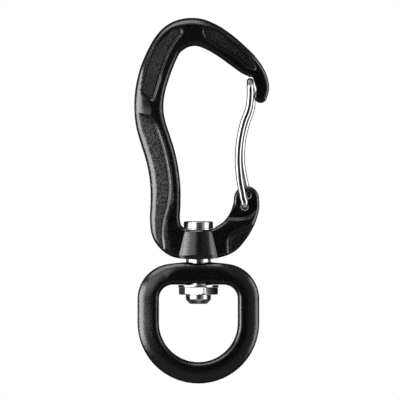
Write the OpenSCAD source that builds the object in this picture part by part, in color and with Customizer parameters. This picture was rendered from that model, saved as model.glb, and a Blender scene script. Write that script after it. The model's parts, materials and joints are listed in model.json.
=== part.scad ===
// Swivel snap hook: a forged hook with a bent wire gate, joined by a headed pin to a D-shaped ring.
// Millimetres. +Z is up, +X is the gate side, the flat faces look along -Y and +Y.
// The origin is on the swivel axis, level with the inside crown of the bow.

/* [Hook] */
// Inside height, from the crown of the bow down to the saddle
inside_h = 52.6; // [44:0.1:64]
// Distance from the swivel axis to the middle of the spine, at its widest
spine_x = 14.2; // [12.5:0.1:18]
// Width of the spine across the flat face
spine_w = 8.6; // [7:0.1:10]
// Thickness of the spine, front to back
spine_t = 8.2; // [6.5:0.1:10]
// Thickness of the web that carries the swivel pin
web_t = 7.0; // [6:0.1:8.5]
// Thickness of the nose that the gate closes on
nose_t = 4.6; // [3.5:0.1:5.2]
// Thickness of the ear that carries the gate
ear_t = 5.0; // [4:0.1:5.6]
// Radius of the rounded edges
edge_r = 1.5; // [0.8:0.1:2]
// Depth of the lightening pockets in each face
pocket_d = 0.6; // [0.3:0.05:1]

/* [Gate] */
// Diameter of the gate wire
wire_d = 2.0; // [1.6:0.1:2.2]
// Free play around each wire foot, on the radius
foot_play = 0.05; // [0.03:0.01:0.1]
// Gap between each wire leg and the ear
leg_gap = 0.4; // [0.2:0.05:0.8]
// Opening angle of the gate
gate_open = 30; // [20:1:32]

/* [Swivel stack] */
// Diameter of the pin's shank
shank_d = 6.0; // [5:0.1:7.2]
// How far the pin's round head reaches past the shank, on the radius
head_rim = 1.2; // [1:0.1:2]
// Height of the pin's round head
head_h = 2.1; // [1.5:0.1:3]
// Thickness of the washer under the head
head_washer_t = 0.4; // [0.3:0.05:0.8]
// Wall of the sleeve that the ring turns on
sleeve_wall = 0.5; // [0.4:0.05:0.7]
// Free play between the sleeve and the ring, on the radius
ring_play = 0.08; // [0.04:0.01:0.1]
// Gap between the hook and the ring, beside the sleeve
ring_gap = 0.7; // [0.4:0.1:1.5]
// How far the washer under the ring reaches past the sleeve, on the radius
ring_washer_rim = 2.2; // [1.6:0.1:3]
// Thickness of the washer under the ring
ring_washer_t = 0.7; // [0.5:0.05:1.2]
// Wall of the nut, from the shank to its flats
nut_wall = 2.0; // [1.5:0.1:2.5]
// Nut height
nut_h = 2.05; // [1.6:0.05:3]
// How far the pin's formed end reaches past the shank, on the radius
tail_rim = 0.6; // [0.4:0.1:1]
// Length of the pin's formed end
tail_h = 2.6; // [2:0.1:3.5]

/* [Ring] */
// Width of the ring's eye
eye_w = 22.5; // [19:0.1:27]
// Height of the ring's eye
eye_h = 22.1; // [20:0.1:28]
// Width of the ring's bar across the flat face
ring_bar_w = 6.15; // [5:0.05:7.5]
// Height of the ring's top bar, that the sleeve passes through
ring_top_h = 6.55; // [6:0.05:8]
// Thickness of the ring, front to back
ring_t = 8.6; // [8.4:0.1:11]

/* [Hidden] */
$fn = 64;

// Gap left between stacked parts that are clamped together
seat = 0.02;
// Free play of the shank in the sleeve, and in the hook and the washers, on the radius
sleeve_play = 0.05;
pass_play = 0.1;
wire_r = wire_d / 2;
shank_r = shank_d / 2;
head_r = shank_r + head_rim;
tail_r = shank_r + tail_rim;
sleeve_r = shank_r + sleeve_play + sleeve_wall;

// The hook's middle line, drawn at its nominal size and stretched to the sizes above. Only the
// stretch between crown and saddle grows in height: the bow and the web keep their own.
// Each row is [x, z, share of the spine's width, half thickness], from nose to ear.
drawn_spine_x = 14.2;
drawn_inside_h = 52.6;
sx = spine_x / drawn_spine_x;
sz = inside_h / drawn_inside_h;
function place(x, z) =
    [x * sx, z > 0 ? z : z > -drawn_inside_h ? z * sz : z + drawn_inside_h - inside_h];
nose_y = nose_t / 2;
bow_y = spine_t / 2 - 0.4;
spine_y = spine_t / 2;
web_y = web_t / 2;
half_w = spine_w / 2;
// The ear is drawn a little thick, so that both its faces are cut clean
ear_y = ear_t / 2 + 0.2;
HOOK_LINE = [
    [17.75, -14.4, 0.44, nose_y],
    [18.05, -12.2, 0.51, nose_y],
    [17.6, -9.7, 0.53, nose_y + 0.1],
    [16.3, -7.2, 0.58, nose_y + 0.4],
    [14.1, -5.2, 0.73, nose_y + 0.8],
    [11.4, -2.9, 0.80, bow_y - 0.3],
    [7.9, -0.1, 0.85, bow_y],
    [4.2, 2.3, 0.89, bow_y],
    [0.3, 3.85, 0.92, bow_y],
    [-3.2, 3.85, 0.96, bow_y],
    [-6.3, 2.65, 0.99, bow_y],
    [-8.8, 0.3, 0.98, bow_y],
    [-10.9, -3.7, 1.01, bow_y],
    [-12.6, -8.1, 1.02, spine_y],
    [-13.8, -13.0, 0.99, spine_y],
    [-14.15, -17.8, 0.97, spine_y],
    [-13.6, -22.3, 0.99, spine_y],
    [-12.3, -26.7, 1.01, spine_y],
    [-10.9, -31.2, 1.01, spine_y],
    [-9.9, -35.9, 1.0, spine_y],
    [-9.4, -40.7, 1.0, spine_y],
    [-9.4, -45.3, 1.0, spine_y],
    [-9.55, -49.6, 1.0, web_y],
    [-8.8, -53.3, 1.04, web_y],
    [-6.2, -55.9, 1.04, web_y],
    [-2.6, -56.7, 0.98, web_y],
    [1.0, -56.75, 0.97, web_y],
    [4.6, -56.5, 0.97, web_y],
    [7.8, -55.1, 1.03, web_y],
    [10.5, -52.6, 0.95, web_y],
    [12.5, -49.4, 0.91, web_y],
    [13.6, -46.1, 0.885, ear_y],
    [13.75, -43.6, 0.84, ear_y]];
// Row where the web starts
web_row = 24;
// Steps drawn between two rows, and points on each quarter of the rounded section
steps = 3;
corner_steps = 3;

// Gate: both wire legs, from their foot to the crossbar, as the front view shows them
FRONT_LEG = [[13.2, -45.9], [12.6, -42.3], [11.8, -37.8], [11.4, -32.4], [11.8, -27],
             [12.9, -21.9], [14.3, -18.1], [14.8, -14.6], [14.8, -10.1]];
REAR_LEG = [[14.05, -42.6], [13.3, -39.0], [12.6, -35.5], [12.3, -31.9], [12.6, -27],
            [13.8, -21.9], [15.1, -18.1], [15.3, -14.6], [14.8, -10.1]];
function leg_point(leg, i) = place(leg[i][0], leg[i][1]);
front_foot = leg_point(FRONT_LEG, 0);
rear_foot = leg_point(REAR_LEG, 0);
crossbar = leg_point(FRONT_LEG, len(FRONT_LEG) - 1);
leg_y = max(ear_t, nose_t) / 2 + leg_gap + wire_r;
foot_bend_r = leg_y - ear_t / 2 + 0.2;
top_bend_r = 2.2;
foot_end_y = ear_t / 2 - 0.5;
// The rear foot is shorter. Its slot is cut from the back face, and a round hole meets it.
rear_foot_end_y = 1.0;
slot_floor_y = rear_foot_end_y - 0.2;
slot_play = 0.2;
wire_sides = 10;
// The swept wire lies just inside its round feet, so that the two join cleanly
swept_r = wire_r * 0.985;

// Swivel stack, from the saddle down. The boss is level with the lowest line of the web.
saddle_z = -inside_h;
web_h = 8.35;
hook_low_z = saddle_z - web_h;
boss_low_z = hook_low_z + 0.5;
face_r = head_r + 0.3;
boss_top_r = face_r + 0.6;
boss_low_r = boss_top_r + 1.55;
head_washer_r = head_r + 0.15;
head_low_z = saddle_z + seat + head_washer_t + seat;
hook_bore_r = shank_r + pass_play;
ring_top_z = hook_low_z - ring_gap;
eye_top_z = ring_top_z - ring_top_h;
ring_face_d = 0.4;
washer_top_z = eye_top_z - 0.1;
washer_low_z = washer_top_z - ring_washer_t;
nut_top_z = washer_low_z - seat;
nut_low_z = nut_top_z - nut_h;
tail_top_z = nut_low_z - seat;
sleeve_top_z = boss_low_z - seat;
sleeve_low_z = washer_top_z + seat;
tail_flat_r = tail_r - 1.2;
tail_chamfer_h = 1.3;
head_round = 0.5;

// Ring: outlines of arcs and straight sides. The corners of both share their centres across.
eye_r = eye_w / 2;
eye_corner_r = 4;
ring_half_w = eye_r + ring_bar_w;
ring_corner_r = eye_corner_r + ring_bar_w;
ring_corner_x = eye_r - eye_corner_r;
ring_arch_r = 60;
ring_arch_z = ring_top_z - ring_arch_r;
ring_corner_z = ring_arch_z + sqrt(pow(ring_arch_r - ring_corner_r, 2) - pow(ring_corner_x, 2));
arch_angle = asin(ring_corner_x / (ring_arch_r - ring_corner_r));
ring_low_z = eye_top_z - eye_h + eye_r;
ring_top_t = ring_t + 1.0;
ring_edge_r = 2.4;

// ---- curves and sweeps ----

function mix(a, b, t) = a + (b - a) * t;
function unit(v) = v / norm(v);
function backwards(list) = [for (k = [len(list) - 1 : -1 : 0]) list[k]];

// A smooth curve through rows of numbers. i is the row before the point, t runs from 0 to 1.
function knot(rows, i) = rows[max(0, min(len(rows) - 1, i))];
function curve(rows, i, t) =
    let (a = knot(rows, i - 1), b = knot(rows, i), c = knot(rows, i + 1), d = knot(rows, i + 2))
    b + 0.5 * t * ((c - a) + t * ((2 * a - 5 * b + 4 * c - d) + t * (3 * (b - c) + d - a)));
function curve_points(rows, n) =
    [for (i = [0 : len(rows) - 2], k = [0 : n - 1]) curve(rows, i, k / n), rows[len(rows) - 1]];
// The same, with more points on the last rows, from row "from" on
function curve_points_finer(rows, n, from, finer) =
    [for (i = [0 : len(rows) - 2]) let (m = i < from ? n : finer)
        for (k = [0 : m - 1]) curve(rows, i, k / m), rows[len(rows) - 1]];

// Direction of a run of points at point i
function heading(points, i) = unit(knot(points, i + 1) - knot(points, i - 1));

// Rounded section in its own plane: half width w, half thickness h_out on its outer side and
// h_in on its inner side, corner radius r
function section(w, h_out, h_in, r) =
    let (q = min(r, w * 0.9, h_out * 0.9))
    [for (side = [[1, 1, 0], [-1, 1, 90], [-1, -1, 180], [1, -1, 270]], k = [0 : corner_steps])
        let (a = side[2] + 90 * k / corner_steps, h = side[0] > 0 ? h_out : h_in)
        [side[0] * (w - q) + q * cos(a), side[1] * (h - q) + q * sin(a)]];

// One rib: a section that stands across the line at centre c, with "out" its outer side
function rib(c, out, w, h_out, h_in, r) =
    [for (p = section(w, h_out, h_in, r)) [c[0] + out[0] * p[0], p[1], c[1] + out[1] * p[0]]];

// Skin over a run of ribs that all have the same number of points. The run goes so that the
// outer side is on the right of an eye that looks along it from +Y.
module skin(ribs, closed = false) {
    m = len(ribs[0]);
    n = len(ribs);
    last = closed ? n - 1 : n - 2;
    points = [for (r = ribs, p = r) p];
    sides = [for (i = [0 : last], k = [0 : m - 1])
        let (a = i * m + k, b = i * m + (k + 1) % m,
             c = ((i + 1) % n) * m + k, d = ((i + 1) % n) * m + (k + 1) % m)
        each [[a, b, c], [b, d, c]]];
    caps = closed ? [] : [[for (k = [m - 1 : -1 : 0]) k],
                          [for (k = [0 : m - 1]) (n - 1) * m + k]];
    polyhedron(points = points, faces = concat(caps, sides), convexity = 8);
}

// ---- hook ----

// Rows of the hook's line in real size: [x, z, half width, half thickness]
hook_rows = [for (row = HOOK_LINE)
    let (p = place(row[0], row[1])) [p[0], p[1], row[2] * half_w, row[3]]];
hook_points = curve_points_finer(hook_rows, steps, web_row, 7);
function outward(points, i) = let (t = heading([for (p = points) [p[0], p[1]]], i)) [t[1], -t[0]];
// Rounded end: ribs that shrink as they run past an end of the line
function end_ribs(p, along, out, angles) =
    [for (a = angles) let (h = p[3] * mix(0.6, 1, cos(a)))
        rib([p[0], p[1]] + along * p[2] * sin(a), out, p[2] * cos(a), h, h, edge_r)];
// The boss is a cone about the pin. It swells the web where its surface stands proud of it.
function swell(x, r) = abs(x) < r ? sqrt(r * r - x * x) : 0;
function hook_rib(i) =
    let (p = hook_points[i], web = p[1] < saddle_z && abs(p[0]) < boss_low_r + 1)
    rib(hook_flat[i], outward(hook_points, i), p[2],
        max(p[3], web ? swell(p[0], boss_low_r) : 0),
        max(p[3], web ? swell(p[0], boss_top_r) : 0), edge_r);
hook_flat = [for (p = hook_points) [p[0], p[1]]];
hook_last = len(hook_points) - 1;
end_angles = [20, 40, 58, 74];
hook_ribs = concat(
    end_ribs(hook_points[0], -heading(hook_flat, 0), outward(hook_points, 0),
             backwards(end_angles)),
    [for (i = [0 : hook_last]) hook_rib(i)],
    end_ribs(hook_points[hook_last], heading(hook_flat, hook_last),
             outward(hook_points, hook_last), end_angles));

// Pocket outline between two rows of the line. It keeps a wider rim on the inner side.
rim_out = 1.3;
rim_in = 2.9;
function pocket_edge(i, side) =
    let (w = hook_points[i][2])
    hook_flat[i] + outward(hook_points, i) * (side > 0 ? w - rim_out : rim_in - w);
module pocket(first, last) {
    a = first * steps;
    b = last * steps;
    outline = concat([for (i = [a : b]) pocket_edge(i, 1)],
                     [for (i = [b : -1 : a]) pocket_edge(i, -1)]);
    deep = max(hook_points[a][3], hook_points[b][3]) - pocket_d;
    for (turn = [0, 1])
        translate([0, turn * (2 * deep + 4), 0])
            translate([0, -deep, 0])
                rotate([90, 0, 0])
                    linear_extrude(4)
                        polygon(outline);
}

// A straight hole or disc along Y, from y0 to y1
module along_y(p, r, y0, y1) {
    translate([p[0], y1, p[1]])
        rotate([90, 0, 0])
            cylinder(r = r, h = y1 - y0);
}

// Room for the rear foot. It swings about the front foot, so its hole is a curved slot.
function turn_about(c, r, from, to, n) =
    [for (k = [0 : n]) let (a = mix(from, to, k / n)) c + r * [cos(a), sin(a)]];
module rear_foot_slot() {
    reach = rear_foot - front_foot;
    swing_r = norm(reach);
    start = atan2(reach[1], reach[0]);
    finish = start + gate_open + 1;
    slot_r = wire_r + slot_play;
    last_place = front_foot + swing_r * [cos(finish), sin(finish)];
    outline = concat(
        turn_about(front_foot, swing_r + slot_r, start, finish, 6),
        turn_about(last_place, slot_r, finish + 30, finish + 150, 4),
        turn_about(front_foot, swing_r - slot_r, finish, start, 4),
        turn_about(rear_foot, slot_r, start - 150, start - 30, 4));
    translate([0, ear_t / 2 + 1, 0])
        rotate([90, 0, 0])
            linear_extrude(ear_t / 2 + 1 - slot_floor_y)
                polygon(outline);
}

// Seat for the crossbar, cut into the inner side of the nose
module gate_notch() {
    outline = [[-2.4, 1.22], [0.72, 1.22], [1.75, -2.2], [1.75, -2.6], [1.0, -3.3], [-2.4, -3.3]];
    translate([crossbar[0], 5, crossbar[1]])
        rotate([90, 0, 0])
            linear_extrude(10)
                polygon(outline * wire_d / 2);
}

module hook_body() {
    color("#1c1c1e")
        difference() {
            skin(backwards(hook_ribs));
            // bore for the swivel pin
            translate([0, 0, hook_low_z - 1])
                cylinder(r = hook_bore_r, h = web_h + 2);
            // seats for the head's washer and for the sleeve
            translate([0, 0, saddle_z])
                cylinder(r = face_r, h = 3);
            translate([0, 0, hook_low_z - 2])
                cylinder(r = face_r, h = boss_low_z - hook_low_z + 2);
            // both faces of the ear, set back from the web
            for (side = [-1, 1])
                translate([place(7, 0)[0], side > 0 ? ear_t / 2 : -ear_t / 2 - 4, place(0, -49.2)[1]])
                    cube([14, 4, 12]);
            gate_notch();
            pocket(5, 8);
            pocket(10, 14);
            along_y(front_foot, wire_r + foot_play, -ear_t, ear_t);
            along_y(rear_foot, wire_r + foot_play, -ear_t, rear_foot_end_y - 0.1);
            rear_foot_slot();
        }
}

// ---- gate ----

// The wire's middle line in space: up the front leg, across the nose, down the rear leg
function leg_line(leg) = curve_points([for (i = [0 : len(leg) - 1]) leg_point(leg, i)], 3);
front_line = leg_line(FRONT_LEG);
rear_line = leg_line(REAR_LEG);
function bend(c, r, side, from, to, n) =
    [for (k = [0 : n])
        let (a = mix(from, to, k / n))
        [c[0], side * (leg_y - r + r * cos(a)), c[1] + r * sin(a)]];
function leg_run(line, side) =
    let (foot = line[0], top = line[len(line) - 1])
    concat(
        bend([foot[0], foot[1] + foot_bend_r], foot_bend_r, side, -90, -10, 4),
        [for (p = line) if (p[1] > foot[1] + foot_bend_r + 0.6 && p[1] < top[1] - top_bend_r - 0.4)
            [p[0], side * leg_y, p[1]]],
        bend([top[0], top[1] - top_bend_r], top_bend_r, side, 10, 90, 4));
front_run = leg_run(front_line, -1);
rear_run = leg_run(rear_line, 1);
wire_path = concat(front_run, backwards(rear_run));
function ring_of(points, i) =
    let (t = heading(points, i), u = unit([1, 0, 0] - t[0] * t), v = cross(t, u))
    [for (k = [0 : wire_sides - 1])
        let (a = -360 * k / wire_sides)
        points[i] + swept_r * (cos(a) * u + sin(a) * v)];
function stub(points, i, y) = [points[i][0], y, points[i][2]];
foot_start_y = leg_y - foot_bend_r;
wire_points = concat([stub(wire_path, 0, -foot_start_y + 0.5)], wire_path,
                     [stub(wire_path, len(wire_path) - 1, foot_start_y - 0.5)]);

module gate_wire() {
    color("#d5d6d8")
        union() {
            skin([for (i = [0 : len(wire_points) - 1]) ring_of(wire_points, i)]);
            along_y(front_foot, wire_r, -foot_start_y, foot_end_y);
            along_y(rear_foot, wire_r, rear_foot_end_y, foot_start_y);
        }
}

// ---- swivel stack ----

// A round bar with chamfered ends, from z0 up to z1
module chamfered(r, z0, z1, low, high) {
    rotate_extrude()
        polygon([[0, z0], [r - low, z0], [r, z0 + low], [r, z1 - high], [r - high, z1], [0, z1]]);
}

module washer(r_in, r_out, z0, t, edge) {
    difference() {
        chamfered(r_out, z0, z0 + t, edge, edge);
        translate([0, 0, z0 - 1])
            cylinder(r = r_in, h = t + 2);
    }
}

module swivel_pin() {
    tail_low_z = tail_top_z - tail_h;
    color("#c9cacc")
        rotate_extrude()
            polygon(concat(
                [[0, tail_low_z], [tail_flat_r, tail_low_z], [tail_r, tail_low_z + tail_chamfer_h],
                 [tail_r, tail_top_z], [shank_r, tail_top_z], [shank_r, head_low_z],
                 [head_r, head_low_z]],
                [for (a = [0 : 30 : 90])
                    [head_r - head_round * (1 - cos(a)), head_low_z + head_h - head_round * (1 - sin(a))]],
                [[0, head_low_z + head_h]]));
}

module head_washer() {
    color("#bfc0c2")
        washer(shank_r + pass_play, head_washer_r, saddle_z + seat, head_washer_t, 0.08);
}

module bearing_sleeve() {
    color("#c4c5c7")
        washer(shank_r + sleeve_play, sleeve_r, sleeve_low_z, sleeve_top_z - sleeve_low_z, 0.1);
}

module ring_washer() {
    color("#bfc0c2")
        washer(shank_r + pass_play, sleeve_r + ring_washer_rim, washer_low_z, ring_washer_t, 0.12);
}

module hex_nut() {
    corner_r = (shank_r + nut_wall) / cos(30);
    cone = 0.35;
    color("#cfd0d2")
        difference() {
            intersection() {
                translate([0, 0, nut_low_z])
                    rotate([0, 0, -12])
                        cylinder(r = corner_r, h = nut_h, $fn = 6);
                chamfered(corner_r, nut_low_z, nut_top_z, cone, 0.05);
            }
            translate([0, 0, nut_low_z - 1])
                cylinder(r = shank_r + seat, h = nut_h + 2);
        }
}

// ---- ring ----

function arc(cx, cz, r, from, to, n) =
    [for (k = [0 : n - 1]) let (a = mix(from, to, k / n)) [cx + r * cos(a), cz + r * sin(a)]];
function line(a, b, n) = [for (k = [0 : n - 1]) mix(a, b, k / n)];

// Right half of each outline, from the top, down the side and round to the bottom. Both have as many
// points, and the ribs join them in pairs. Only the outer one is arched on top.
side_steps = 3;
ring_outer_half = concat(
    arc(0, ring_arch_z, ring_arch_r, 90, 90 - arch_angle, 8),
    arc(ring_corner_x, ring_corner_z, ring_corner_r, 90 - arch_angle, 0, 10),
    line([ring_half_w, ring_corner_z], [ring_half_w, ring_low_z], side_steps),
    arc(0, ring_low_z, ring_half_w, 0, -90, 16),
    [[0, ring_low_z - ring_half_w]]);
eye_half = concat(
    line([0, eye_top_z], [ring_corner_x, eye_top_z], 8),
    arc(ring_corner_x, eye_top_z - eye_corner_r, eye_corner_r, 90, 0, 10),
    line([eye_r, eye_top_z - eye_corner_r], [eye_r, ring_low_z], side_steps),
    arc(0, ring_low_z, eye_r, 0, -90, 16),
    [[0, ring_low_z - eye_r]]);
function whole(half) =
    concat(half, [for (k = [len(half) - 2 : -1 : 1]) [-half[k][0], half[k][1]]]);
function ease(t) = t * t * (3 - 2 * t);
function ring_rise(z) = ease(max(0, min(1, (z - ring_low_z) / (ring_top_z - ring_low_z))));

module swivel_ring() {
    outer = whole(ring_outer_half);
    inner = whole(eye_half);
    ribs = [for (i = [0 : len(outer) - 1])
        let (a = outer[i], b = inner[i], h = mix(ring_t, ring_top_t, ring_rise(a[1])) / 2)
        rib((a + b) / 2, unit(a - b), norm(a - b) / 2, h, h, ring_edge_r)];
    color("#1c1c1e")
        difference() {
            skin(ribs, closed = true);
            translate([0, 0, eye_top_z - 1])
                cylinder(r = sleeve_r + ring_play, h = ring_top_h + 2);
            translate([0, 0, ring_top_z - ring_face_d])
                cylinder(r = face_r, h = 2);
            translate([0, 0, eye_top_z + ring_face_d - 2])
                cylinder(r = face_r, h = 2);
        }
}

hook_body();
gate_wire();
swivel_pin();
head_washer();
bearing_sleeve();
swivel_ring();
ring_washer();
hex_nut();
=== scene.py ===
import json
import math

import bpy
import numpy as np
from bpy.props import FloatProperty, FloatVectorProperty, PointerProperty
from bpy.types import Operator, Panel, PropertyGroup
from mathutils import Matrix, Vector

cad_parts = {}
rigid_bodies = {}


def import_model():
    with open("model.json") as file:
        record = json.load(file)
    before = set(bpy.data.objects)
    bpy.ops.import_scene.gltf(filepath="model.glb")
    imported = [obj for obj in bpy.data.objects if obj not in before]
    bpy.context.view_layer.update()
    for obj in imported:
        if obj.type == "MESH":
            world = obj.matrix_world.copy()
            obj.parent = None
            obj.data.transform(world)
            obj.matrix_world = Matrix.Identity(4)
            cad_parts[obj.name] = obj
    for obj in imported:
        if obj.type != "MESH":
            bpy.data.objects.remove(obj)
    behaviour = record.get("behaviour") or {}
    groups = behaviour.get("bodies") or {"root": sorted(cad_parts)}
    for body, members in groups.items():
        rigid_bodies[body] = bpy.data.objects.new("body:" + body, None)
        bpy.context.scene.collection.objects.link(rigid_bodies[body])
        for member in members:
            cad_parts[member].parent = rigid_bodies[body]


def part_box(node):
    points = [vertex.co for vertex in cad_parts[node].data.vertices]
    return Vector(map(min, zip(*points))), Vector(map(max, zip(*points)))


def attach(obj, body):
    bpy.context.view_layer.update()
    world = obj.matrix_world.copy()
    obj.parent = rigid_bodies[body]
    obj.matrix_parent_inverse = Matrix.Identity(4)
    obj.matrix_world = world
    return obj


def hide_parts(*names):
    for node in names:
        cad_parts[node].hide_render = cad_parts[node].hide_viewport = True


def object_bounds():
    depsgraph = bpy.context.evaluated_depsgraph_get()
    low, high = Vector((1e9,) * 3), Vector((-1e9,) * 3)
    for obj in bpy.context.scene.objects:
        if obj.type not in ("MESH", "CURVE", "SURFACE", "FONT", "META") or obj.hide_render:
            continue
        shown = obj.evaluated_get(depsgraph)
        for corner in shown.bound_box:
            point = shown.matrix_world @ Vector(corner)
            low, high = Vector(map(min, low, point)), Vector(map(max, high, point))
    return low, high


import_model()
CAD_LOW, CAD_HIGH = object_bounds()

bl_info = {
    "name": "Swivel snap hook",
    "version": (1, 0, 0),
    "blender": (4, 5, 0),
    "location": "3D View > Sidebar > Snap hook",
    "description": "Builds the looks of a swivel snap hook with a bent wire gate",
    "category": "Object",
}

MM = 0.001
AXIS = 0.001            # radius that stands for a turned piece's axis, in millimetres
FACE_POINTS = 58        # points across the flat of each rib's face
LONG_RUN, SUPPORT = 0.5, 0.05      # a profile's run that gets support points, and how near its ends
CREASE_TURN = (3.2, 6.5)           # turn for each millimetre where the painted crease highlight and wear start and are full
LEVEL = (0.9, 0.97)                # how squarely a floor faces the front where its grain starts and is full

# The hook's middle line, nose to ear, in millimetres from the crown's inner side on the swivel axis:
# x, z, half width, half thickness, then width and depth of the outer and of the inner rounded edge.
HOOK_LINE = [
    (17.75, -14.4, 1.89, 2.3, 0.9, 1.3, 0.7, 1.2),
    (18.05, -12.2, 2.19, 2.3, 1.0, 1.3, 0.8, 1.2),
    (17.6, -9.7, 2.28, 2.4, 1.0, 1.4, 0.8, 1.3),
    (16.3, -7.2, 2.49, 2.7, 1.1, 1.5, 0.9, 1.5),
    (14.1, -5.2, 3.14, 3.1, 1.2, 1.7, 1.0, 1.7),
    (11.4, -2.9, 3.44, 3.4, 1.3, 2.0, 1.1, 2.0),
    (7.9, -0.1, 3.66, 3.7, 1.3, 2.2, 1.2, 2.2),
    (4.2, 2.3, 3.83, 3.7, 1.5, 2.4, 1.2, 2.2),
    (0.3, 3.85, 3.96, 3.7, 1.9, 2.6, 1.3, 2.2),
    (-3.2, 3.85, 4.13, 3.7, 1.9, 2.6, 1.3, 2.2),
    (-6.3, 2.65, 4.26, 3.7, 1.5, 2.4, 1.2, 2.2),
    (-8.8, 0.3, 4.21, 3.7, 1.3, 2.2, 1.1, 2.2),
    (-10.9, -3.7, 4.34, 3.7, 1.3, 2.2, 1.1, 2.2),
    (-12.6, -8.1, 4.39, 4.1, 1.3, 2.4, 1.1, 2.3),
    (-13.8, -13.0, 4.26, 4.1, 2.2, 2.8, 1.1, 2.3),
    (-14.15, -17.8, 4.17, 4.1, 4.9, 3.4, 1.1, 2.3),
    (-13.6, -22.3, 4.26, 4.1, 4.2, 3.4, 1.1, 2.3),
    (-12.3, -26.7, 4.34, 4.1, 4.0, 3.4, 1.1, 2.3),
    (-10.9, -31.2, 4.34, 4.1, 4.0, 3.4, 1.1, 2.3),
    (-9.9, -35.9, 4.3, 4.1, 4.0, 3.4, 1.1, 2.3),
    (-9.4, -40.7, 4.3, 4.1, 4.0, 3.3, 1.1, 2.2),
    (-9.4, -45.3, 4.3, 4.1, 3.8, 3.1, 1.1, 2.2),
    (-9.55, -49.6, 4.3, 3.5, 3.4, 2.9, 1.1, 2.0),
    (-8.8, -53.3, 4.47, 3.5, 2.8, 2.6, 1.1, 1.8),
    (-6.2, -55.9, 4.47, 3.5, 1.4, 1.8, 0.9, 1.4),
    (-2.6, -56.7, 4.21, 3.5, 0.9, 1.2, 0.6, 0.8),
    (1.0, -56.75, 4.17, 3.5, 0.9, 1.2, 0.6, 0.8),
    (4.6, -56.5, 4.17, 3.5, 0.9, 1.2, 0.6, 0.8),
    (7.8, -55.1, 4.43, 3.5, 1.4, 1.8, 0.9, 1.4),
    (10.5, -52.6, 4.09, 3.5, 1.5, 1.9, 0.9, 1.5),
    (12.5, -49.4, 3.91, 3.5, 1.3, 1.8, 0.9, 1.5),
    (13.6, -46.1, 3.81, 2.5, 0.9, 1.3, 0.8, 1.2),
    (13.75, -43.6, 3.61, 2.5, 0.9, 1.3, 0.8, 1.2)]

# The boss about the swivel pin: height and radius at its top and at its foot, and the seats cut into it.
BOSS_TOP, BOSS_FOOT = -52.6, -60.95
BOSS_TOP_R, BOSS_FOOT_R = 5.1, 6.65
FOOT_SEAT, SEAT_R = -60.45, 4.5

# Outlines cut into both faces, as runs of points that meet in corners, in millimetres.
LEFT_POCKET = [
    [(-16.4, -13.0), (-16.0, -10.2), (-14.2, -4.3), (-12.5, -0.4), (-10.5, 2.3), (-8.2, 4.5),
     (-6.5, 5.4), (-5.2, 5.0), (-4.8, 3.8), (-6.0, 2.2), (-7.6, -0.1), (-9.2, -3.6), (-10.9, -8.7),
     (-12.4, -13.8), (-12.9, -15.1), (-13.5, -15.4), (-14.9, -14.7), (-16.1, -13.8)]]
RIGHT_POCKET = [
    [(16.5, -6.2), (14.8, -3.7), (11.9, -0.4), (8.3, 2.9), (5.8, 4.6), (3.8, 5.3), (2.1, 5.1),
     (1.4, 4.1), (2.2, 2.3), (4.4, 0.6), (7.5, -1.4), (11.2, -3.7), (13.7, -5.8), (15.8, -6.8)]]
SPINE_LEAF = [
    [(-17.9, -18.7), (-15.2, -19.8), (-12.6, -22.4), (-10.8, -26.5), (-9.4, -31.4), (-8.35, -37.3),
     (-8.2, -41.7), (-8.8, -46.0), (-9.8, -49.8), (-10.2, -53.3), (-9.7, -58.0)],
    [(-9.7, -58.0), (-9.4, -60.5)],
    [(-9.4, -60.5), (-22.0, -60.5)],
    [(-22.0, -60.5), (-22.0, -18.2)],
    [(-22.0, -18.2), (-17.9, -18.7)]]
WEB_LEAF = [
    [(15.6, -51.2), (12.1, -52.7), (9.9, -53.6), (8.9, -54.7), (8.4, -56.0), (8.5, -59.4)],
    [(8.5, -59.4), (8.5, -61.5)],
    [(8.5, -61.5), (21.0, -61.5)],
    [(21.0, -61.5), (21.0, -50.5)],
    [(21.0, -50.5), (15.6, -51.2)]]
EAR_STEP = [
    [(5.0, -49.4), (8.5, -49.4), (11.0, -49.5), (13.2, -49.3), (14.8, -48.9), (16.0, -48.1),
     (17.0, -46.9), (19.0, -45.6)],
    [(19.0, -45.6), (19.0, -36.0)],
    [(19.0, -36.0), (5.0, -36.0)],
    [(5.0, -36.0), (5.0, -49.4)]]
# Depth of each cut against the distance inside its outline, both in millimetres.
POCKET_WALL = [(-0.5, 0.0), (-0.28, 0.04), (-0.12, 0.12), (-0.02, 0.24), (0.06, 0.46), (0.16, 0.57),
               (0.34, 0.62), (0.6, 0.6), (9, 0.6)]
LEAF_WALL = [(-1.1, 0.0), (-0.75, 0.04), (-0.4, 0.14), (-0.15, 0.27), (-0.04, 0.38), (0.08, 0.7),
             (0.2, 0.8), (0.4, 0.84), (0.8, 0.79), (1.3, 0.75), (9, 0.75)]
STEP_WALL = [(-0.5, 0.0), (-0.25, 0.06), (-0.05, 0.2), (0.2, 0.85), (0.4, 0.98), (0.6, 1.0), (9, 1.0)]

# The gate's two legs, foot to crossbar, in millimetres.
FRONT_LEG = [(13.2, -45.9), (12.6, -42.3), (11.8, -37.8), (11.4, -32.4), (11.8, -27.0),
             (12.9, -21.9), (14.3, -18.1), (14.8, -14.6), (14.8, -10.1)]
REAR_LEG = [(14.05, -42.6), (13.3, -39.0), (12.6, -35.5), (12.3, -31.9), (12.6, -27.0),
            (13.8, -21.9), (15.1, -18.1), (15.3, -14.6), (14.8, -10.1)]


# ---- curves ----

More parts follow.
